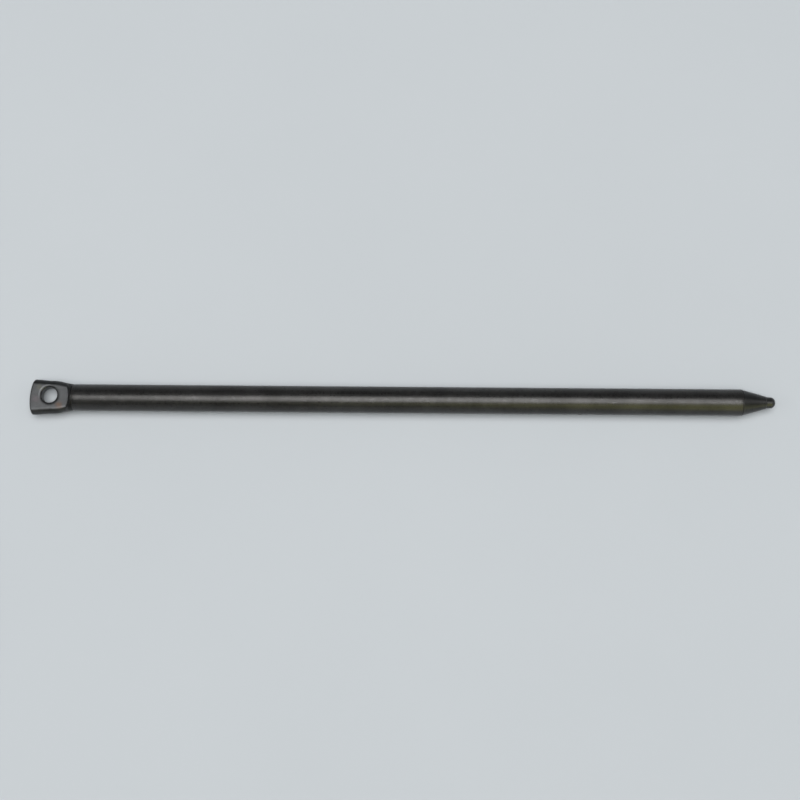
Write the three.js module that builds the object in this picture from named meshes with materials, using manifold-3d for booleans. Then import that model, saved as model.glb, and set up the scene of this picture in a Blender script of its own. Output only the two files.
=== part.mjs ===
// A tubular tent stake in three solid pieces: a drawn tube, a forged eye head with a spigot bonded
// into one end of the tube, and a turned point with a spigot bonded into the other.
// Millimetres. The stake lies along X with its eye head at -X and its point at +X, the flat faces of
// the eye level. Z = 0 is the surface that the tube lies on, and X = 0 is the middle of the length.
// Inside a piece's own geometry, X is the distance along the stake from the head's struck end.
import * as THREE from "three";
import { mergeVertices } from "three/addons/utils/BufferGeometryUtils.js";
import Module from "manifold-3d";

const wasm = await Module();
wasm.setup();

// Tube
const TUBE_RADIUS = 4;
const TUBE_WALL = 1;
const TUBE_LENGTH = 199.7;
const ROUND_SEGMENTS = 32; // sides of every piece that is turned about the stake's axis

// Bonded joints, the same at both ends
const SEAM_GAP = 0.1; // between a tube end and the shoulder that meets it
const EDGE_CHAMFER = 0.12;
const BOND_LINE = 0.08; // radial gap that the adhesive fills
const SPIGOT_LENGTH = 15;
const SPIGOT_NOSE = 0.6;
const GLUE_GROOVE_DEPTH = 0.25;
const GLUE_GROOVE_WIDTH = 1.2;
const GLUE_GROOVES = [4, 9]; // from the shoulder

// Eye head
const HEAD_LENGTH = 12.8;
const BLADE_HALF_THICKNESS = 1.8;
const BLADE_WAIST_HALF_WIDTH = 5;
const BLADE_END_HALF_WIDTH = 5.35;
const FLARE_FROM = 1.5;
const FLARE_TO = 6.5;
const NECK_FROM = 7;
const NECK_TO = 13.3;
const SHOULDER_FROM = 11.5;
const SHOULDER_TO = 12.55;
const SHOULDER_BOW = 1; // how much nearer the end the shoulder is at the sides than in the middle
const SHOULDER_BOW_FROM = 8;
const END_ARC_RADIUS = 17;
const END_SKEW_DEG = 3;
const END_EDGE_ROUND = 0.45;

// Eye
const EYE_RADIUS = 2.35;
const EYE_RIM_WIDTH = 0.95;
const EYE_RIM_DEPTH = 0.5;
const EYE_FROM_END = 5.8;
const EYE_OFF_CENTRE = 0.5;
const EYE_SEGMENTS = 32;

// Point
const POINT_LENGTH = 10.25;
const CONE_LENGTH = 7.3;
const CONE_HALF_ANGLE_DEG = 15.6;
const PIP_STEP = 0.15;
const PIP_STRAIGHT = 1.45;
const PIP_TAPER = 0.12;

// Places along the stake, from the head's struck end
const TUBE_FROM = HEAD_LENGTH + SEAM_GAP;
const TUBE_TO = TUBE_FROM + TUBE_LENGTH;
const POINT_FROM = TUBE_TO + SEAM_GAP;
const STAKE_LENGTH = POINT_FROM + POINT_LENGTH;
// The tube lies on one of its flats, so its axis is this far above the surface.
const AXIS_HEIGHT = TUBE_RADIUS * Math.cos(Math.PI / ROUND_SEGMENTS);
const SPIGOT_RADIUS = TUBE_RADIUS - TUBE_WALL - BOND_LINE;

const { smoothstep, lerp, degToRad } = THREE.MathUtils;

function solidOf(geometry) {
  const bare = geometry.clone();
  bare.deleteAttribute("normal");
  bare.deleteAttribute("uv");
  const merged = mergeVertices(bare, 1e-4);
  return new wasm.Manifold(
    new wasm.Mesh({
      numProp: 3,
      vertProperties: merged.attributes.position.array,
      triVerts: new Uint32Array(merged.index.array),
    }),
  );
}

function geometryOf(solid) {
  const mesh = solid.getMesh();
  const geometry = new THREE.BufferGeometry();
  geometry.setAttribute("position", new THREE.BufferAttribute(mesh.vertProperties, 3));
  geometry.setIndex(new THREE.BufferAttribute(mesh.triVerts, 1));
  geometry.computeVertexNormals();
  return geometry;
}

// Turns a profile of [distance along the stake, radius] pairs about the stake's axis. A flat of the
// polygon faces straight down, and another straight up.
function turned(profile) {
  const points = profile.map(([along, radius]) => new THREE.Vector2(radius, along));
  const lathe = new THREE.LatheGeometry(points, ROUND_SEGMENTS, Math.PI / ROUND_SEGMENTS);
  return lathe.rotateZ(-Math.PI / 2);
}

// The profile of a spigot from the shoulder face to its free end. It runs from shoulder in the
// direction of side, which is 1 towards the point and -1 towards the head.
function spigotProfile(shoulder, side) {
  const steps = [[0, SPIGOT_RADIUS]];
  for (const groove of GLUE_GROOVES) {
    steps.push([groove, SPIGOT_RADIUS]);
    steps.push([groove + GLUE_GROOVE_DEPTH, SPIGOT_RADIUS - GLUE_GROOVE_DEPTH]);
    steps.push([groove + GLUE_GROOVE_WIDTH - GLUE_GROOVE_DEPTH, SPIGOT_RADIUS - GLUE_GROOVE_DEPTH]);
    steps.push([groove + GLUE_GROOVE_WIDTH, SPIGOT_RADIUS]);
  }
  steps.push([SPIGOT_LENGTH - SPIGOT_NOSE, SPIGOT_RADIUS]);
  steps.push([SPIGOT_LENGTH, SPIGOT_RADIUS - SPIGOT_NOSE]);
  steps.push([SPIGOT_LENGTH, 0]);
  return steps.map(([depth, radius]) => [shoulder + side * depth, radius]);
}

function tubeGeometry() {
  const bore = TUBE_RADIUS - TUBE_WALL;
  return turned([
    [TUBE_FROM, bore + EDGE_CHAMFER],
    [TUBE_FROM, TUBE_RADIUS - EDGE_CHAMFER],
    [TUBE_FROM + EDGE_CHAMFER, TUBE_RADIUS],
    [TUBE_TO - EDGE_CHAMFER, TUBE_RADIUS],
    [TUBE_TO, TUBE_RADIUS - EDGE_CHAMFER],
    [TUBE_TO, bore + EDGE_CHAMFER],
    [TUBE_TO - EDGE_CHAMFER, bore],
    [TUBE_FROM + EDGE_CHAMFER, bore],
    [TUBE_FROM, bore + EDGE_CHAMFER],
  ]);
}

// A point on a section with flat top and bottom and half-round sides, where angle runs round the
// section from straight up. Equal steps of angle are equal steps round the outline.
function sectionPoint(angle, halfWidth, halfThickness) {
  const quarter = Math.PI / 2;
  const across = Math.sin(angle);
  const up = Math.cos(angle);
  const share = Math.atan2(Math.abs(across), Math.abs(up)) / quarter;
  const flat = halfWidth - halfThickness;
  const travelled = share * (flat + quarter * halfThickness);
  const turn = Math.max(0, travelled - flat) / halfThickness;
  const y = Math.min(travelled, flat) + halfThickness * Math.sin(turn);
  const z = halfThickness * Math.cos(turn);
  return { y: y * Math.sign(across), z: z * Math.sign(up) };
}

// How far a point of the head moves along the stake. The struck end is bowed and a little skew, and
// the shoulder is bowed too, so that it stands further back at the sides.
function setBack(along, across) {
  const fromForemost = across + END_ARC_RADIUS * Math.sin(degToRad(END_SKEW_DEG));
  const endBow = END_ARC_RADIUS - Math.sqrt(END_ARC_RADIUS ** 2 - fromForemost ** 2);
  const shoulderBow = SHOULDER_BOW * (across / TUBE_RADIUS) ** 2;
  const nearEnd = 1 - smoothstep(along, 0, FLARE_TO);
  const nearShoulder =
    smoothstep(along, SHOULDER_BOW_FROM, SHOULDER_FROM) *
    (1 - smoothstep(along, (SHOULDER_FROM + SHOULDER_TO) / 2, HEAD_LENGTH - EDGE_CHAMFER));
  return endBow * nearEnd - shoulderBow * nearShoulder;
}

// Half the width of the forged head at a distance from its foremost point.
function outlineHalfWidth(fromForemost) {
  const neck = smoothstep(fromForemost, NECK_FROM, NECK_TO);
  const flare = 1 - smoothstep(fromForemost, FLARE_FROM, FLARE_TO);
  return (
    lerp(BLADE_WAIST_HALF_WIDTH, TUBE_RADIUS, neck) +
    flare * (BLADE_END_HALF_WIDTH - BLADE_WAIST_HALF_WIDTH)
  );
}

// Half the width and half the thickness of the section that starts at a distance along the stake.
// Its sides end up where setBack moves them, so the width is the outline's there.
function bladeSection(along) {
  const unmoved = outlineHalfWidth(along);
  const shoulder = smoothstep(along, SHOULDER_FROM, SHOULDER_TO);
  return {
    halfWidth: outlineHalfWidth(along + setBack(along, unmoved)),
    halfThickness: lerp(BLADE_HALF_THICKNESS, TUBE_RADIUS, shoulder),
  };
}

// Forges the part of a round blank that stands outside the tube into the eye's blade. A ring of the
// blank that is smaller than the tube becomes a section drawn in by the same amount all round, and
// within the end's flat face it shrinks towards the middle.
function forge(blank) {
  const place = blank.getAttribute("position");
  const endFaceRadius = TUBE_RADIUS - END_EDGE_ROUND;
  for (let i = 0; i < place.count; i += 1) {
    const along = place.getX(i);
    const radius = Math.hypot(place.getY(i), place.getZ(i));
    if (along < SHOULDER_TO) {
      const { halfWidth, halfThickness } = bladeSection(along);
      const drawnIn = Math.min(TUBE_RADIUS - radius, END_EDGE_ROUND);
      const share = Math.min(radius / endFaceRadius, 1);
      const angle = Math.atan2(place.getY(i), place.getZ(i));
      const point = sectionPoint(angle, halfWidth - drawnIn, halfThickness - drawnIn);
      const across = point.y * share;
      place.setXYZ(i, along + setBack(along, across), across, point.z * share);
    }
  }
  return blank;
}

// The eye's cutter: a straight bore that opens out at each face in a quarter of an ellipse.
function eyeCutter() {
  const steps = 5;
  const rimFrom = BLADE_HALF_THICKNESS - EYE_RIM_DEPTH;
  const rim = [];
  for (let i = 0; i <= steps; i += 1) {
    const turn = (i / steps) * (Math.PI / 2);
    const radius = EYE_RADIUS + EYE_RIM_WIDTH * (1 - Math.cos(turn));
    rim.push([radius, rimFrom + EYE_RIM_DEPTH * Math.sin(turn)]);
  }
  const pastFace = BLADE_HALF_THICKNESS + 1;
  const upper = [...rim, [EYE_RADIUS + EYE_RIM_WIDTH, pastFace], [0, pastFace]];
  const lower = upper.map(([radius, height]) => [radius, -height]).reverse();
  const points = [...lower, ...upper].map(([radius, height]) => new THREE.Vector2(radius, height));
  const cutter = new THREE.LatheGeometry(points, EYE_SEGMENTS).rotateX(Math.PI / 2);
  return solidOf(cutter.translate(EYE_FROM_END, EYE_OFF_CENTRE, 0));
}

// The blank's struck end: its flat face in rings, then the rounded edge.
function struckEndProfile() {
  const faceSteps = 4;
  const edgeSteps = 5;
  const profile = [];
  for (let i = 0; i < faceSteps; i += 1) {
    profile.push([0, (TUBE_RADIUS - END_EDGE_ROUND) * (i / faceSteps)]);
  }
  for (let i = 0; i <= edgeSteps; i += 1) {
    const turn = (i / edgeSteps) * (Math.PI / 2);
    const along = END_EDGE_ROUND * (1 - Math.cos(turn));
    profile.push([along, TUBE_RADIUS - END_EDGE_ROUND * (1 - Math.sin(turn))]);
  }
  return profile;
}

function headGeometry() {
  const bladeSteps = 11;
  const shoulderSteps = 6;
  const profile = struckEndProfile();
  for (let i = 1; i < bladeSteps; i += 1) {
    profile.push([lerp(END_EDGE_ROUND, SHOULDER_FROM, i / bladeSteps), TUBE_RADIUS]);
  }
  for (let i = 0; i <= shoulderSteps; i += 1) {
    profile.push([lerp(SHOULDER_FROM, SHOULDER_TO, i / shoulderSteps), TUBE_RADIUS]);
  }
  profile.push([HEAD_LENGTH - EDGE_CHAMFER, TUBE_RADIUS]);
  profile.push([HEAD_LENGTH, TUBE_RADIUS - EDGE_CHAMFER]);
  profile.push(...spigotProfile(HEAD_LENGTH, 1));
  const forged = solidOf(forge(turned(profile)));
  return geometryOf(forged.subtract(eyeCutter()));
}

function pointGeometry() {
  const coneBase = TUBE_RADIUS - EDGE_CHAMFER / 2;
  const coneTo = POINT_FROM + CONE_LENGTH;
  const coneTip = coneBase - CONE_LENGTH * Math.tan(degToRad(CONE_HALF_ANGLE_DEG));
  const pipBase = coneTip - PIP_STEP;
  const domeFrom = coneTo + PIP_STRAIGHT;
  const domeLength = STAKE_LENGTH - domeFrom;
  const domeBase = pipBase - PIP_TAPER;
  const domeSteps = 7;
  const profile = spigotProfile(POINT_FROM, -1).reverse();
  profile.push([POINT_FROM, coneBase - EDGE_CHAMFER]);
  profile.push([POINT_FROM + EDGE_CHAMFER, coneBase]);
  profile.push([coneTo, coneTip]);
  profile.push([coneTo + PIP_STEP / 2, pipBase]);
  for (let i = 0; i <= domeSteps; i += 1) {
    const turn = (i / domeSteps) * (Math.PI / 2);
    const radius = i < domeSteps ? domeBase * Math.cos(turn) : 0;
    profile.push([domeFrom + domeLength * Math.sin(turn), radius]);
  }
  return turned(profile);
}

function piece(name, geometry, color, roughness) {
  const material = new THREE.MeshStandardMaterial({ color, roughness, metalness: 1 });
  const mesh = new THREE.Mesh(geometry, material);
  mesh.name = name;
  return mesh;
}

const onAxis = new THREE.Group();
onAxis.position.set(-STAKE_LENGTH / 2, 0, AXIS_HEIGHT);
onAxis.add(
  piece("eye_head", headGeometry(), 0x585a5e, 0.42),
  piece("shaft_tube", tubeGeometry(), 0x4a4a49, 0.36),
  piece("point_tip", pointGeometry(), 0x46494a, 0.4),
);

const stake = new THREE.Group();
stake.name = "tent_stake";
stake.add(onAxis);

export default stake;
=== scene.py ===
"""A tubular tent stake lying on a pale floor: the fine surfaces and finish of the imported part.

Shapes are worked out in millimetres, in the stake's own frame: `along` runs down the stake from
the head's struck end, y across it, and z up from its axis. A mesh is made in metres, where the
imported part's boxes say that the piece is.
"""

import math

import bmesh
import bpy
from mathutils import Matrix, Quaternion, Vector, noise


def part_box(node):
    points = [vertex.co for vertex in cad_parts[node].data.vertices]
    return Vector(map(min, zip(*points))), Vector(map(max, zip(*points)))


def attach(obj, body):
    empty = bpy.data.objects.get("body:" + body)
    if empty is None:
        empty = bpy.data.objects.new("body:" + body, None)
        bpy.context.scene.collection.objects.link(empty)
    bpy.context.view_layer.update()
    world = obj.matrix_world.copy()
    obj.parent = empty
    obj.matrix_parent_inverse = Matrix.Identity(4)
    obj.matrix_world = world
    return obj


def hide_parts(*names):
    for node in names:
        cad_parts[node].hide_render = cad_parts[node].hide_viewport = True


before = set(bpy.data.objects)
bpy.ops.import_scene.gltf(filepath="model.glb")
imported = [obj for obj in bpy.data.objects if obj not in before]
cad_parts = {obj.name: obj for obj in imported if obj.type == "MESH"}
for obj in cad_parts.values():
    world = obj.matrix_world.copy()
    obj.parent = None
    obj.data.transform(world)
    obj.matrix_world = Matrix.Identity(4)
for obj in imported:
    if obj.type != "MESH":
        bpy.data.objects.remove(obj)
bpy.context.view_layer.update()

MM = 0.001
TUBE_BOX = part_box("shaft_tube")
HEAD_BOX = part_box("eye_head")
POINT_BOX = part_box("point_tip")

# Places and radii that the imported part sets
STRUCK_END = HEAD_BOX[0].x / MM
AXIS_HEIGHT = (TUBE_BOX[0].z + TUBE_BOX[1].z) / 2 / MM
TUBE_RADIUS = (TUBE_BOX[1].z - TUBE_BOX[0].z) / 2 / MM
TUBE_FROM = TUBE_BOX[0].x / MM - STRUCK_END
TUBE_TO = TUBE_BOX[1].x / MM - STRUCK_END
STAKE_LENGTH = POINT_BOX[1].x / MM - STRUCK_END
HEAD_SPIGOT_TO = HEAD_BOX[1].x / MM - STRUCK_END
POINT_SPIGOT_FROM = POINT_BOX[0].x / MM - STRUCK_END
STAKE_MIDDLE = Vector((0, 0, AXIS_HEIGHT * MM))  # in metres, in the part's frame

# Bonded joints
TUBE_WALL = 1.0
SEAM_GAP = 0.1
EDGE_ROUND = 0.14
BOND_LINE = 0.08
SPIGOT_NOSE = 0.6
GLUE_GROOVES = (4.0, 9.0)
GLUE_GROOVE_DEPTH = 0.25
GLUE_GROOVE_WIDTH = 1.2
BOND_RECESS = 0.13

# Eye head
HEAD_LENGTH = TUBE_FROM - SEAM_GAP
BLADE_HALF_THICKNESS = 1.8
BLADE_WAIST_HALF_WIDTH = 5.0
BLADE_END_HALF_WIDTH = 5.35
FLARE_FROM, FLARE_TO = 1.5, 6.5
NECK_FROM, NECK_TO = 7.0, 13.3
SHOULDER_FROM, SHOULDER_TO = 11.5, 12.55
SHOULDER_BOW = 1.0
SHOULDER_BOW_FROM = 8.0
END_ARC_RADIUS = 17.0
END_SKEW = math.radians(3)
END_EDGE_ROUND = 0.45
EYE_RADIUS = 2.35
EYE_RIM_WIDTH = 0.95
EYE_RIM_DEPTH = 0.5
EYE_FROM_END = 5.8
EYE_OFF_CENTRE = 0.5
FORGING_WAVE = 0.03  # how uneven the forged surface is

# Point
POINT_FROM = TUBE_TO + SEAM_GAP
POINT_BASE_INSET = 0.03  # how far under the tube's radius the cone starts
CONE_LENGTH = 7.3
CONE_HALF_ANGLE = math.radians(15.6)
PIP_STEP = 0.15
PIP_STEP_ROUND = 0.03
PIP_STRAIGHT = 1.45
PIP_TAPER = 0.12
TOOL_MARK_PITCH = 0.32
TOOL_MARK_DEPTH = 0.006
TOOL_MARK_CLEAR = 0.3  # how much of the cone has no marks at its base, and twice as much as at its tip

# Wear: the curvature, in 1/mm, where an edge starts to wear and where it is worn most
WEAR_FROM, WEAR_TO = 0.35, 1.4
SEAM_SHELTER = 0.5  # how near a seam an edge is out of wear's reach

# Fineness of the meshes
ROUND = 128  # points round a section, a multiple of 8
EDGE_STEPS = 4
END_EDGE_STEPS = 7
EYE_RIM_STEPS = 9
EYE_SPREAD_STEPS = 6
EYE_WALL_STEPS = 5
EYE_BLOCK_MARGIN = 0.45  # how far past the eye's rim the blade's mesh is left open for it
DOME_STEPS = 12
TUBE_STEP = 1.25
TUBE_FIRST_RING = 1.0
BORE_FIRST_RING = 20.0
BLADE_STEP = 0.2
SHOULDER_STEP = 0.1
TOOL_MARK_STEP = TOOL_MARK_PITCH / 4
PIP_RING_STEP = 0.2
CRISP_EDGE = math.radians(38)  # an edge bent more than this is shaded crisp


def lerp(a, b, share):
    """The value that lies a share of the way from a to b."""
    return a + (b - a) * share


def smoothstep(value, low, high):
    """0 up to low and 1 from high on, with a smooth rise between them."""
    share = min(max((value - low) / (high - low), 0.0), 1.0)
    return share * share * (3 - 2 * share)


def steps(low, high, step):
    """Values from low up to high, evenly spaced and about a step apart."""
    count = max(1, round((high - low) / step))
    return [lerp(low, high, i / count) for i in range(count + 1)]


def quarter(count):
    """(1 - cos, 1 - sin) of angles from 0 to a right angle, for a rounded edge."""
    turns = [math.pi / 2 * i / count for i in range(count + 1)]
    return [(1 - math.cos(t), 1 - math.sin(t)) for t in turns]


# ---------------------------------------------------------------- meshes


def place(along, y, z):
    """The point in the part's frame, in metres, for a point in the stake's own frame."""
    return Vector((STRUCK_END + along, y, AXIS_HEIGHT + z)) * MM


def bridge(bm, first, second):
    """Joins two closed rings of the same length with quads."""
    for i, a in enumerate(first):
        j = (i + 1) % len(first)
        bm.faces.new((a, first[j], second[j], second[i]))


def cap(bm, ring, tip):
    """Joins a closed ring to a single vertex with triangles."""
    for i, a in enumerate(ring):
        bm.faces.new((a, ring[(i + 1) % len(ring)], tip))


def ring_of(bm, along, radius):
    """A ring of vertices about the axis, or one vertex on the axis itself."""
    if radius == 0:
        return [bm.verts.new(place(along, 0, 0))]
    turns = [2 * math.pi * (i + 0.5) / ROUND for i in range(ROUND)]
    return [bm.verts.new(place(along, radius * math.sin(t), radius * math.cos(t))) for t in turns]


def turn(bm, profile, closed=False):
    """Turns (along, radius) pairs about the axis. An open profile starts and ends on the axis."""
    rings = [ring_of(bm, along, radius) for along, radius in profile]
    pairs = list(zip(rings, rings[1:]))
    if closed:
        pairs.append((rings[-1], rings[0]))
    for first, second in pairs:
        if len(first) == 1:
            cap(bm, second, first[0])
        elif len(second) == 1:
            cap(bm, first, second[0])
        else:
            bridge(bm, first, second)


def in_seam(vertex):
    """Whether a vertex is at one of the two bonded seams, where an edge is sheltered from wear."""
    along = vertex.co.x / MM - STRUCK_END
    return min(abs(along - TUBE_FROM), abs(along - TUBE_TO)) < SEAM_SHELTER


def mark_wear(bm):
    """Stores how sharply each vertex stands out, from 0 to 1, for the finish to wear thin there."""
    layer = bm.verts.layers.float.new("wear")
    for vertex in bm.verts:
        bends = []
        for edge in vertex.link_edges:
            away = vertex.co - edge.other_vert(vertex).co
            bends.append(2 * away.dot(vertex.normal) / away.length_squared)
        curvature = sum(bends) / len(bends) * MM
        vertex[layer] = 0.0 if in_seam(vertex) else smoothstep(curvature, WEAR_FROM, WEAR_TO)


def finish_mesh(bm, name):
    """Makes the object from a finished bmesh, with faces outward and crisp edges kept crisp."""
    bmesh.ops.recalc_face_normals(bm, faces=bm.faces)
    bm.normal_update()
    mark_wear(bm)
    mesh = bpy.data.meshes.new(name)
    bm.to_mesh(mesh)
    bm.free()
    mesh.shade_smooth()
    mesh.set_sharp_from_angle(angle=CRISP_EDGE)
    piece = bpy.data.objects.new(name, mesh)
    bpy.context.scene.collection.objects.link(piece)
    return piece


def spigot_profile(shoulder, free_end):
    """From the shoulder's face to the middle of the free end, with its glue grooves."""
    side = 1 if free_end > shoulder else -1
    length = abs(free_end - shoulder)
    radius = TUBE_RADIUS - TUBE_WALL - BOND_LINE
    profile = [(0, radius)]
    for groove in GLUE_GROOVES:
        floor = radius - GLUE_GROOVE_DEPTH
        profile.append((groove, radius))
        profile.append((groove + GLUE_GROOVE_DEPTH, floor))
        profile.append((groove + GLUE_GROOVE_WIDTH - GLUE_GROOVE_DEPTH, floor))
        profile.append((groove + GLUE_GROOVE_WIDTH, radius))
    profile.append((length - SPIGOT_NOSE, radius))
    profile.append((length, radius - SPIGOT_NOSE))
    profile.append((length, 0))
    return [(shoulder + side * depth, r) for depth, r in profile]


def rounded_rim(face, radius, side):
    """A small rounded edge from a face out to a radius. side is 1 where the piece is beyond it."""
    edge = quarter(EDGE_STEPS)
    return [(face + side * EDGE_ROUND * c, radius - EDGE_ROUND * s) for c, s in edge]


def make_tube():
    """The drawn tube, open at both ends, with its sawn ends lightly rounded."""
    bore = TUBE_RADIUS - TUBE_WALL
    first, last = TUBE_FROM + TUBE_FIRST_RING, TUBE_TO - TUBE_FIRST_RING
    outside = rounded_rim(TUBE_FROM, TUBE_RADIUS, 1)
    outside += [(along, TUBE_RADIUS) for along in steps(first, last, TUBE_STEP)]
    outside += reversed(rounded_rim(TUBE_TO, TUBE_RADIUS, -1))
    inside = [(TUBE_TO, bore + EDGE_ROUND), (TUBE_TO - EDGE_ROUND, bore)]
    inside += [(TUBE_TO - BORE_FIRST_RING, bore), (TUBE_FROM + BORE_FIRST_RING, bore)]
    inside += [(TUBE_FROM + EDGE_ROUND, bore), (TUBE_FROM, bore + EDGE_ROUND)]
    bm = bmesh.new()
    turn(bm, outside + inside, closed=True)
    return finish_mesh(bm, "drawn_tube")


def make_bond(name, seam_from):
    """The thin line of adhesive that shows in the seam between a shoulder and the tube's end."""
    outer = TUBE_RADIUS - BOND_RECESS
    inner = TUBE_RADIUS - TUBE_WALL + EDGE_ROUND
    clear = 0.015
    low, high = seam_from + clear, seam_from + SEAM_GAP - clear
    bm = bmesh.new()
    turn(bm, [(low, inner), (low, outer), (high, outer), (high, inner)], closed=True)
    return finish_mesh(bm, name)


# ---------------------------------------------------------------- eye head


def outline_half_width(from_foremost):
    """Half the width of the forged head at a distance from its foremost point."""
    neck = smoothstep(from_foremost, NECK_FROM, NECK_TO)
    flare = 1 - smoothstep(from_foremost, FLARE_FROM, FLARE_TO)
    flare *= BLADE_END_HALF_WIDTH - BLADE_WAIST_HALF_WIDTH
    return lerp(BLADE_WAIST_HALF_WIDTH, TUBE_RADIUS, neck) + flare


def blade_section(along):
    """Half the width and half the thickness of the section that starts at a distance along. Its
    sides end up where set_back moves them, so the width is the outline's there."""
    moved = along + set_back(along, outline_half_width(along))
    shoulder = smoothstep(along, SHOULDER_FROM, SHOULDER_TO)
    return outline_half_width(moved), lerp(BLADE_HALF_THICKNESS, TUBE_RADIUS, shoulder)


def section_point(angle, half_width, half_thickness):
    """A point on a section with flat faces and half-round sides. angle runs from straight up."""
    across, up = math.sin(angle), math.cos(angle)
    share = math.atan2(abs(across), abs(up)) / (math.pi / 2)
    flat = half_width - half_thickness
    travelled = share * (flat + math.pi / 2 * half_thickness)
    turned = max(0.0, travelled - flat) / half_thickness
    y = min(travelled, flat) + half_thickness * math.sin(turned)
    return math.copysign(y, across), math.copysign(half_thickness * math.cos(turned), up)


def set_back(along, y):
    """How far a point of the head moves down the stake: the struck end's bow and skew, less the
    bow of the shoulder, which reaches furthest down the stake in the middle."""
    from_foremost = y + END_ARC_RADIUS * math.sin(END_SKEW)
    bow = END_ARC_RADIUS - math.sqrt(END_ARC_RADIUS ** 2 - from_foremost ** 2)
    shoulder = smoothstep(along, SHOULDER_BOW_FROM, SHOULDER_FROM)
    shoulder_middle = (SHOULDER_FROM + SHOULDER_TO) / 2
    shoulder *= 1 - smoothstep(along, shoulder_middle, HEAD_LENGTH - EDGE_ROUND)
    end = bow * (1 - smoothstep(along, 0, FLARE_TO))
    return end - SHOULDER_BOW * (y / TUBE_RADIUS) ** 2 * shoulder


def face_height(x, y):
    """The height above the axis of the blade's upper face at a place in plan."""
    along = x
    for _ in range(8):  # set_back changes slowly, so this settles on the section that ends up at x
        along = x - set_back(along, y)
    half_width, half_thickness = blade_section(along)
    past_flat = max(0.0, abs(y) - (half_width - half_thickness))
    return math.sqrt(half_thickness ** 2 - past_flat ** 2)


def head_rings():
    """(along, drawn in) for each ring of the head outside the tube, from the struck end."""
    end_edge, collar_edge = quarter(END_EDGE_STEPS), reversed(quarter(EDGE_STEPS))
    rings = [(END_EDGE_ROUND * c, END_EDGE_ROUND * s) for c, s in end_edge]
    rings += [(along, 0) for along in steps(END_EDGE_ROUND, SHOULDER_FROM, BLADE_STEP)[1:]]
    rings += [(along, 0) for along in steps(SHOULDER_FROM, SHOULDER_TO, SHOULDER_STEP)[1:]]
    rings += [(HEAD_LENGTH - EDGE_ROUND * c, EDGE_ROUND * s) for c, s in collar_edge]
    return rings


def eye_levels():
    """(distance in plan from the rim's outer edge towards the bore, depth below the face)."""
    return [(EYE_RIM_WIDTH * (1 - s), EYE_RIM_DEPTH * c) for c, s in quarter(EYE_RIM_STEPS)]


def eye_rings(bm, loop, side):
    """Rings from a loop of the blade's mesh in to the eye's bore, on the upper face where side is
    1 and on the lower where it is -1. The loop itself is the first."""
    centre = Vector((EYE_FROM_END, EYE_OFF_CENTRE))
    rim = EYE_RADIUS + EYE_RIM_WIDTH
    rays = []
    for vertex in loop:
        x, y = vertex.co.x / MM - STRUCK_END, vertex.co.y / MM
        out = Vector((x, y)) - centre
        rays.append((out.length, out.normalized()))
    rings = [loop]

    def add(radii, depth):
        """Adds a ring at the rays' radii, sunk to a depth below the blade's face."""
        ring = []
        for radius, (_, direction) in zip(radii, rays):
            x, y = centre + direction * radius
            z = face_height(x, y) - depth
            ring.append(bm.verts.new(place(x, y, side * z)))
        rings.append(ring)

    for i in range(1, EYE_SPREAD_STEPS):
        add([lerp(length, rim, i / EYE_SPREAD_STEPS) for length, _ in rays], 0)
    for inward, depth in eye_levels():
        add([rim - inward] * len(rays), depth)
    return rings


def cut_eye(bm, lattice, first, last, left, right):
    """Runs the eye through the block of the blade that its mesh leaves open, between two rings and
    between two places counted round the section from straight up."""
    columns = list(range(left, right + 1))
    rows = list(range(first, last + 1))
    walk = [(first, q) for q in columns]
    walk += [(r, right) for r in rows[1:]]
    walk += [(last, q) for q in columns[-2::-1]]
    walk += [(r, left) for r in rows[-2:0:-1]]
    upper = eye_rings(bm, [lattice(r, q) for r, q in walk], 1)
    lower = eye_rings(bm, [lattice(r, ROUND // 2 - 1 - q) for r, q in walk], -1)
    wall = []
    for i in range(1, EYE_WALL_STEPS):
        share = i / EYE_WALL_STEPS
        wall.append([bm.verts.new(a.co.lerp(b.co, share)) for a, b in zip(upper[-1], lower[-1])])
    rings = upper + wall + lower[::-1]
    for outer, inner in zip(rings, rings[1:]):
        bridge(bm, outer, inner)


def forge_unevenness(bm):
    """Lets the blade's surface swell and dip a little, and fades that out towards the tube."""
    bm.normal_update()
    for vertex in bm.verts:
        here = vertex.co / MM
        along = here.x - STRUCK_END
        fade = 1 - smoothstep(along, SHOULDER_FROM - 1, SHOULDER_TO)
        swell = noise.noise(here * 0.33) + 0.35 * noise.noise(here * 0.9)
        vertex.co += vertex.normal * (FORGING_WAVE * fade * swell * MM)


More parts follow.
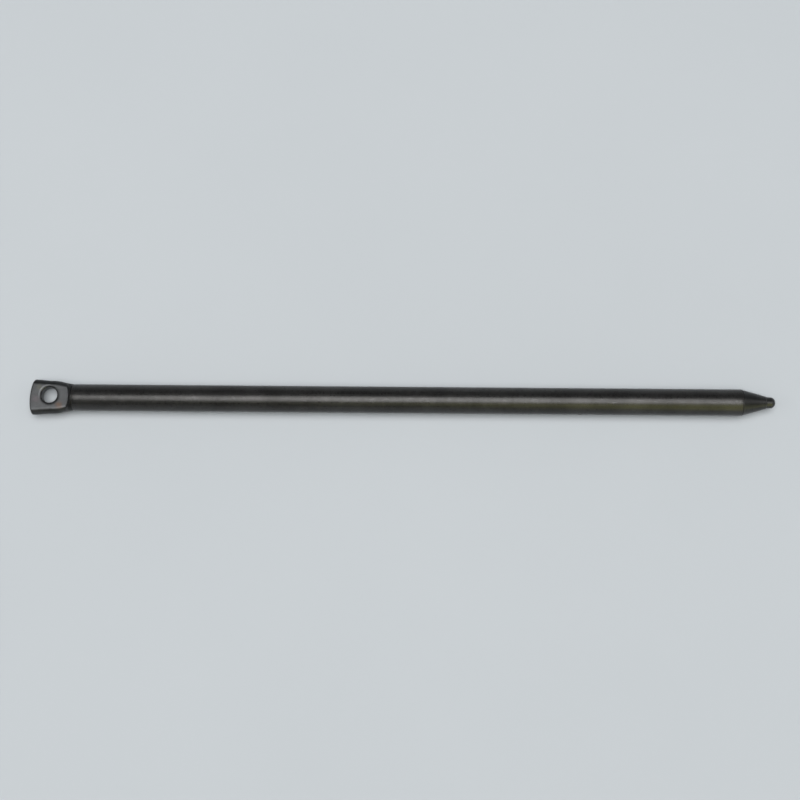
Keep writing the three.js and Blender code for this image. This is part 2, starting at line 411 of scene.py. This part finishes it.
def make_head():
    """The forged head: one closed surface, with the eye running through the blade's own mesh."""
    bm = bmesh.new()
    rings = head_rings()
    angles = [2 * math.pi * (q + 0.5) / ROUND for q in range(ROUND)]
    made = {}

    def lattice(row, q):
        """The vertex at a place round a ring, made when it is first asked for."""
        key = (row, q % ROUND)
        if key not in made:
            along, drawn_in = rings[row]
            half_width, half_thickness = blade_section(along)
            size = (half_width - drawn_in, half_thickness - drawn_in)
            y, z = section_point(angles[key[1]], *size)
            made[key] = bm.verts.new(place(along + set_back(along, y), y, z))
        return made[key]

    # The block of the mesh that is left open for the eye, in rings and in places round the section
    reach = EYE_RADIUS + EYE_RIM_WIDTH + EYE_BLOCK_MARGIN
    rows = [r for r, (along, _) in enumerate(rings) if abs(along - EYE_FROM_END) < reach]
    first, last = rows[0], rows[-1]
    flat = BLADE_WAIST_HALF_WIDTH - BLADE_HALF_THICKNESS
    half_girth = 2 * flat + math.pi * BLADE_HALF_THICKNESS
    pitch = 2 * half_girth / ROUND
    left = -round((reach - EYE_OFF_CENTRE) / pitch)
    right = round((reach + EYE_OFF_CENTRE) / pitch)

    for row in range(len(rings) - 1):
        for q in range(-ROUND // 4, 3 * ROUND // 4):
            mirrored = ROUND // 2 - 2 - q
            in_block = left <= q < right or left <= mirrored < right
            if first <= row < last and in_block:
                continue
            corners = (row, q), (row, q + 1), (row + 1, q + 1), (row + 1, q)
            bm.faces.new([lattice(*corner) for corner in corners])
    cut_eye(bm, lattice, first, last, left, right)

    # The struck end's flat face, in strips from the upper edge to the lower
    for q in range(-ROUND // 4, ROUND // 4 - 1):
        below = ROUND // 2 - 1 - q
        corners = (q, q + 1, below - 1, below)
        bm.faces.new([lattice(0, c) for c in corners])

    # The shoulder's face and the spigot
    previous = [lattice(len(rings) - 1, q) for q in range(ROUND)]
    for along, radius in spigot_profile(HEAD_LENGTH, HEAD_SPIGOT_TO):
        ring = ring_of(bm, along, radius)
        if len(ring) == 1:
            cap(bm, previous, ring[0])
        else:
            bridge(bm, previous, ring)
        previous = ring
    forge_unevenness(bm)
    return finish_mesh(bm, "forged_eye_head")


# ---------------------------------------------------------------- point


def cone_profile(base, cone_to):
    """The cone's side, from its base radius, with a shallow tool mark at each pitch."""
    profile = rounded_rim(POINT_FROM, base, 1)
    first, last = POINT_FROM + TOOL_MARK_CLEAR, cone_to - TOOL_MARK_CLEAR / 2
    for along in steps(first, last, TOOL_MARK_STEP)[1:]:
        radius = base - (along - POINT_FROM) * math.tan(CONE_HALF_ANGLE)
        mark = math.cos(2 * math.pi * along / TOOL_MARK_PITCH)
        profile.append((along, radius - TOOL_MARK_DEPTH * (0.5 + 0.5 * mark)))
    return profile


def step_profile(cone_to, cone_tip, pip):
    """The small rounded step from the cone's tip down to the pip's radius."""
    return [
        (cone_to - 2 * PIP_STEP_ROUND, cone_tip + PIP_STEP_ROUND / 3),
        (cone_to, cone_tip - PIP_STEP_ROUND),
        (cone_to + PIP_STEP_ROUND, pip + PIP_STEP_ROUND),
        (cone_to + 3 * PIP_STEP_ROUND, pip),
    ]


def pip_profile(pip_from, pip):
    """The pip's slightly tapered side and its dome, which ends on the axis."""
    dome_from = pip_from + PIP_STRAIGHT
    dome = pip - PIP_TAPER
    profile = []
    for along in steps(pip_from + PIP_RING_STEP, dome_from - PIP_RING_STEP / 2, PIP_RING_STEP):
        profile.append((along, lerp(pip, dome, (along - pip_from) / PIP_STRAIGHT)))
    for c, s in quarter(DOME_STEPS)[:-1]:
        profile.append((lerp(dome_from, STAKE_LENGTH, 1 - s), dome * (1 - c)))
    profile.append((STAKE_LENGTH, 0))
    return profile


def point_profile():
    """From the spigot's free end to the pip's tip."""
    base = TUBE_RADIUS - POINT_BASE_INSET
    cone_to = POINT_FROM + CONE_LENGTH
    cone_tip = base - CONE_LENGTH * math.tan(CONE_HALF_ANGLE)
    pip = cone_tip - PIP_STEP
    profile = spigot_profile(POINT_FROM, POINT_SPIGOT_FROM)[::-1]
    profile += cone_profile(base, cone_to)
    profile += step_profile(cone_to, cone_tip, pip)
    profile += pip_profile(cone_to, pip)
    return profile


def make_point():
    """The turned point, with its shallow tool marks, the step and the blunt pip."""
    bm = bmesh.new()
    turn(bm, point_profile())
    return finish_mesh(bm, "turned_point")


# ---------------------------------------------------------------- finishes


class Graph:
    """A material's nodes. add() makes a node and gives its first output, ready to feed another."""

    def __init__(self, name):
        self.material = bpy.data.materials.new(name)
        self.material.use_nodes = True
        self.tree = self.material.node_tree
        self.shader = self.tree.nodes["Principled BSDF"]

    def set(self, node, inputs):
        """Gives a node's sockets their values, or links them to other nodes' outputs."""
        for key, value in inputs.items():
            socket = node.inputs[key]
            if isinstance(value, bpy.types.NodeSocket):
                self.tree.links.new(value, socket)
            else:
                socket.default_value = value

    def add(self, kind, inputs=None, output=0, **settings):
        """Makes a shader node of a kind, with its inputs and settings, and gives one output."""
        node = self.tree.nodes.new("ShaderNode" + kind)
        for key, value in settings.items():
            setattr(node, key, value)
        self.set(node, inputs or {})
        return node.outputs[output]

    def millimetres(self, scale=(1, 1, 1), turn=(0, 0, 0)):
        """The object's own coordinates in millimetres, stretched along its axes."""
        here = self.add("TexCoord", output="Object")
        size = [s / MM for s in scale]
        return self.add("Mapping", {"Vector": here, "Scale": size, "Rotation": turn})

    def noise(self, where, scale, detail=4.0, rough=0.55):
        inputs = {"Vector": where, "Scale": scale, "Detail": detail, "Roughness": rough}
        return self.add("TexNoise", inputs)

    def ramp(self, value, low, high, to_low=0.0, to_high=1.0):
        """A smooth change from to_low to to_high as the value goes from low to high."""
        inputs = {1: low, 2: high, 3: to_low, 4: to_high, 0: value}
        return self.add("MapRange", inputs, interpolation_type="SMOOTHSTEP")

    def math(self, operation, a, b):
        return self.add("Math", {0: a, 1: b}, operation=operation)

    def patch(self, along, y, radius):
        """1 at a place on the stake, given in its own frame, falling to 0 at a ragged edge."""
        centre = (STRUCK_END + along, y, AXIS_HEIGHT)
        here = self.millimetres()
        flat = self.add("VectorMath", {0: here, 1: centre}, operation="SUBTRACT")
        flat = self.add("VectorMath", {0: flat, 1: (1, 1, 0)}, operation="MULTIPLY")
        away = self.add("VectorMath", {0: flat}, output="Value", operation="LENGTH")
        ragged = self.math("ADD", away, self.math("MULTIPLY", self.noise(here, 1.3), radius))
        return self.ramp(ragged, 1.5 * radius, 0.6 * radius)

    def mix(self, share, a, b):
        inputs = {0: share, 6: a, 7: b}
        return self.add("Mix", inputs, output=2, data_type="RGBA")


def colour(value, warm=0.0):
    """A grey, moved towards warm where warm is above 0 and towards cool where it is below."""
    return (value * (1 + warm), value, value * (1 - warm), 1.0)


# Near-black colour painted into the crook of the shoulder as shade
PAINTED_SHOULDER_SHADE = colour(0.008, 0.05)
BARE_METAL = colour(0.34, 0.02)


def scratches(graph, angle, density):
    """Fine hairlines that run one way, broken up so that none goes on for long."""
    lines = graph.millimetres(scale=(0.16, 5.0, 5.0), turn=(0.0, angle / 2, angle))
    hair = graph.noise(lines, 1.6, detail=2.0)
    thin = graph.ramp(hair, 0.5 + density, 0.52 + density)
    patches = graph.ramp(graph.noise(graph.millimetres(), 0.35, detail=1.0), 0.5, 0.62)
    return graph.math("MULTIPLY", thin, patches)


def painted_shoulder_shade(graph):
    """Painted shade: how much the crook between the head's flat face and its collar is darkened, 0 to
    1.
    """
    along = graph.add("SeparateXYZ", {0: graph.millimetres()}, output="X")
    ragged = graph.ramp(graph.noise(graph.millimetres(), 1.8), 0.3, 0.7, -0.12, 0.12)
    here = graph.math("ADD", graph.math("SUBTRACT", along, STRUCK_END), ragged)
    after = graph.ramp(here, SHOULDER_FROM - 0.1, SHOULDER_FROM + 0.3)
    before = graph.ramp(here, TUBE_FROM, TUBE_FROM - 0.25)
    return graph.math("MULTIPLY", graph.math("MULTIPLY", after, before), 0.8)


def anodised(name, grain, grain_depth, shade, warm, roughness, worn, flat_face_sheen=0.0, patches=()):
    """Dark hard-anodised aluminium. grain stretches the fine lines that the shaping left. Faces
    that lie flat, upper and lower alike, get a painted sheen: they are paler by the given share.
    Each of the patches is (along, y, radius, tint), a paler tint still. Painted shade darkens the
    crook of the shoulder."""
    graph = Graph(name)
    here = graph.millimetres()
    lines = graph.noise(graph.millimetres(scale=grain), 1.0, detail=5.0, rough=0.7)
    cloud = graph.noise(here, 0.12, detail=3.0)
    blotch = graph.noise(here, 0.9, detail=4.0)
    pores = graph.noise(here, 9.0, detail=3.0, rough=0.65)

    dark = colour(shade * 0.78, warm)
    light = colour(shade * 1.22, warm)
    tone = graph.math("ADD", graph.math("MULTIPLY", cloud, 0.55), graph.math("MULTIPLY", lines, 0.45))
    base = graph.mix(graph.ramp(tone, 0.36, 0.64), dark, light)
    base = graph.mix(graph.ramp(blotch, 0.56, 0.72, 0.0, 0.35), base, colour(shade * 1.3, warm + 0.06))

    # Painted sheen: flat faces, upper and lower alike, painted paler for the light they mirror
    upright = graph.add("SeparateXYZ", {0: graph.add("TexCoord", output="Normal")}, output="Z")
    flat = graph.ramp(graph.math("ABSOLUTE", upright, 0.0), 0.93, 0.995)
    pale_face_patch = graph.math("MULTIPLY", flat, graph.ramp(blotch, 0.3, 0.6, 0.7, 1.0))
    pale = colour(shade * (1 + flat_face_sheen), warm)
    base = graph.mix(graph.math("MULTIPLY", pale_face_patch, min(1.0, 2 * flat_face_sheen)), base, pale)
    # Paler tinted patches, at given places on the head's face
    for along, y, radius, tint in patches:
        base = graph.mix(graph.patch(along, y, radius), base, tint)

    # Painted shade: the crook of the shoulder is painted darker
    base = graph.mix(painted_shoulder_shade(graph), base, PAINTED_SHOULDER_SHADE)

    hair = graph.math("MAXIMUM", scratches(graph, 0.35, 0.14), scratches(graph, -0.9, 0.16))
    base = graph.mix(graph.math("MULTIPLY", hair, 0.35), base, colour(shade * 3.0))

    wear = graph.add("Attribute", output="Fac", attribute_name="wear")
    chips = graph.ramp(graph.noise(here, 2.6, detail=5.0, rough=0.7), 0.42, 0.66)
    bare = graph.math("MULTIPLY", graph.math("MULTIPLY", wear, chips), worn)
    base = graph.mix(bare, base, BARE_METAL)

    gloss = graph.math("ADD", graph.ramp(lines, 0.3, 0.7, -0.05, 0.05), roughness)
    gloss = graph.math("ADD", gloss, graph.ramp(blotch, 0.35, 0.7, -0.03, 0.05))
    gloss = graph.math("SUBTRACT", gloss, graph.math("MULTIPLY", hair, 0.08))

    height = graph.math("MULTIPLY", lines, grain_depth)
    height = graph.math("ADD", height, graph.math("MULTIPLY", pores, 0.0006))
    height = graph.math("SUBTRACT", height, graph.math("MULTIPLY", hair, 0.0012))
    height = graph.math("SUBTRACT", height, graph.math("MULTIPLY", bare, 0.003))
    relief = graph.add("Bump", {"Strength": 1.0, "Distance": MM, "Height": height})
    graph.set(graph.shader, {
        "Base Color": base,
        "Metallic": 0.85,
        "Roughness": gloss,
        "IOR": 1.6,
        "Normal": relief,
    })
    return graph.material


def adhesive():
    """Dark cured epoxy, a little uneven."""
    graph = Graph("cured_epoxy")
    lumps = graph.noise(graph.millimetres(), 3.0)
    base = graph.mix(lumps, colour(0.012, 0.1), colour(0.03, 0.15))
    relief = graph.add("Bump", {"Strength": 0.6, "Distance": 0.02 * MM, "Height": lumps})
    gloss = graph.ramp(lumps, 0.3, 0.7, 0.35, 0.55)
    graph.set(graph.shader, {"Base Color": base, "Roughness": gloss, "Normal": relief})
    return graph.material


def pale_floor():
    """Plain matt grey, very slightly cloudy."""
    graph = Graph("pale_floor")
    cloud = graph.noise(graph.millimetres(), 0.01)
    base = graph.mix(cloud, (0.48, 0.51, 0.53, 1.0), (0.51, 0.54, 0.56, 1.0))
    graph.set(graph.shader, {"Base Color": base, "Roughness": 0.85})
    return graph.material


# ---------------------------------------------------------------- the stake


def fit(piece, material, slot, *nodes):
    """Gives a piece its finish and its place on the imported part."""
    piece.data.materials.append(material)
    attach(piece, "root")
    if nodes:
        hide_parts(*nodes)


def make_stake():
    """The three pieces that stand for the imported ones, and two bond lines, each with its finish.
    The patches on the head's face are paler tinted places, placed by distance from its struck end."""
    brownish_patch = (8.8, -2.5, 1.5, (0.115, 0.082, 0.066, 1.0))
    pale_face_patch = (1.8, -0.8, 1.8, (0.112, 0.102, 0.108, 1.0))
    corner = (2.7, 2.8, 1.2, (0.108, 0.11, 0.097, 1.0))
    drawn = anodised(
        "anodised_drawn_tube", grain=(0.03, 7.0, 7.0), grain_depth=0.002,
        shade=0.048, warm=0.02, roughness=0.32, worn=0.4,
    )
    # The forged head gets a painted sheen on its flat faces, and paler tinted patches
    forged = anodised(
        "anodised_forged_head", grain=(0.5, 1.1, 0.8), grain_depth=0.005,
        shade=0.05, warm=-0.03, roughness=0.38, worn=0.5,
        flat_face_sheen=0.8, patches=(brownish_patch, pale_face_patch, corner),
    )
    turned = anodised(
        "anodised_turned_point", grain=(6.0, 0.1, 0.1), grain_depth=0.003,
        shade=0.044, warm=0.0, roughness=0.34, worn=0.4,
    )
    fit(make_tube(), drawn, "tube_metal", "shaft_tube")
    fit(make_head(), forged, "head_metal", "eye_head")
    fit(make_point(), turned, "point_metal", "point_tip")
    epoxy = adhesive()
    fit(make_bond("head_bond_line", HEAD_LENGTH), epoxy, "tube_metal")
    fit(make_bond("point_bond_line", TUBE_TO), epoxy, "tube_metal")


# ---------------------------------------------------------------- studio


def make_floor():
    """A plain square, so large that its far edge is close to the horizon in a low view."""
    half = 8.0
    bm = bmesh.new()
    corners = [(-half, -half), (half, -half), (half, half), (-half, half)]
    bm.faces.new([bm.verts.new((x, y, 0.0)) for x, y in corners])
    mesh = bpy.data.meshes.new("floor")
    bm.to_mesh(mesh)
    bm.free()
    mesh.materials.append(pale_floor())
    floor = bpy.data.objects.new("floor", mesh)
    bpy.context.scene.collection.objects.link(floor)


def aim(thing, target, roll=0.0):
    """Points a camera or a light, which look down their own -Z, at a place."""
    towards = (Vector(target) - thing.location).to_track_quat("-Z", "Y")
    thing.rotation_mode = "QUATERNION"
    thing.rotation_quaternion = towards @ Quaternion((0, 0, 1), roll)


def make_light(name, location, size, radiance, tint=(1, 1, 1), roll=0.0, lights_floor=True):
    """A panel aimed at the stake. One that doesn't light the floor shows only in the metal."""
    light = bpy.data.lights.new(name, "AREA")
    light.shape = "RECTANGLE"
    light.size, light.size_y = size
    light.energy = radiance * math.pi * size[0] * size[1]
    light.color = tint
    lamp = bpy.data.objects.new(name, light)
    lamp.location = location
    lamp.visible_camera = False
    lamp.visible_diffuse = lights_floor
    bpy.context.scene.collection.objects.link(lamp)
    aim(lamp, STAKE_MIDDLE, roll)


def make_daylight():
    """Even light from straight above, for the floor. It doesn't show in the metal's sheen."""
    daylight = bpy.data.lights.new("daylight", "SUN")
    daylight.energy = 2.9
    daylight.angle = math.radians(50)
    lamp = bpy.data.objects.new("daylight", daylight)
    lamp.visible_glossy = False
    bpy.context.scene.collection.objects.link(lamp)


def make_room():
    """A dim room that is paler low down all round, where the stake's sides mirror it."""
    world = bpy.data.worlds.new("room")
    world.use_nodes = True
    nodes, links = world.node_tree.nodes, world.node_tree.links
    background = nodes["Background"]
    background.inputs["Color"].default_value = (0.94, 0.97, 1.0, 1.0)
    direction = nodes.new("ShaderNodeTexCoord")
    upward = nodes.new("ShaderNodeSeparateXYZ")
    falloff = nodes.new("ShaderNodeMapRange")
    falloff.interpolation_type = "SMOOTHSTEP"
    for key, value in (("From Max", 0.55), ("To Min", 0.5), ("To Max", 0.12)):
        falloff.inputs[key].default_value = value
    links.new(direction.outputs["Generated"], upward.inputs[0])
    links.new(upward.outputs["Z"], falloff.inputs["Value"])
    links.new(falloff.outputs["Result"], background.inputs["Strength"])
    bpy.context.scene.world = world


def make_studio():
    """A softbox overhead, a panel off each end, a warm panel beside the viewer, and daylight."""
    make_light(
        "softbox", (0.045, -0.1, 1.0), size=(0.85, 0.66), radiance=4.0,
        roll=math.radians(-7), lights_floor=False,
    )
    make_light("head_end_panel", (-0.85, -0.1, 0.75), size=(0.7, 0.4), radiance=1.6)
    make_light("point_end_panel", (0.95, 0.1, 0.75), size=(0.6, 0.5), radiance=0.8)
    make_light(
        "warm_panel", (0.55, -0.95, 0.75), size=(0.9, 1.3), radiance=1.1,
        tint=(1.0, 1.0, 0.4), lights_floor=False,
    )
    make_daylight()
    make_room()


def make_camera():
    """Almost straight above the stake, leaning a little towards the side nearest the viewer."""
    distance, lean, roll = 0.42, math.radians(10), math.radians(0.45)
    view_width, view_shift = 0.2397, -0.00092
    data = bpy.data.cameras.new("camera")
    data.sensor_width = 36.0
    data.lens = data.sensor_width * distance / view_width
    camera = bpy.data.objects.new("camera", data)
    middle = STAKE_MIDDLE + Vector((view_shift, 0, 0))
    camera.location = middle + distance * Vector((0, -math.sin(lean), math.cos(lean)))
    bpy.context.scene.collection.objects.link(camera)
    aim(camera, middle, roll)
    bpy.context.scene.camera = camera
    bpy.context.scene.view_settings.view_transform = "Standard"


make_camera()
make_studio()
make_floor()
make_stake()
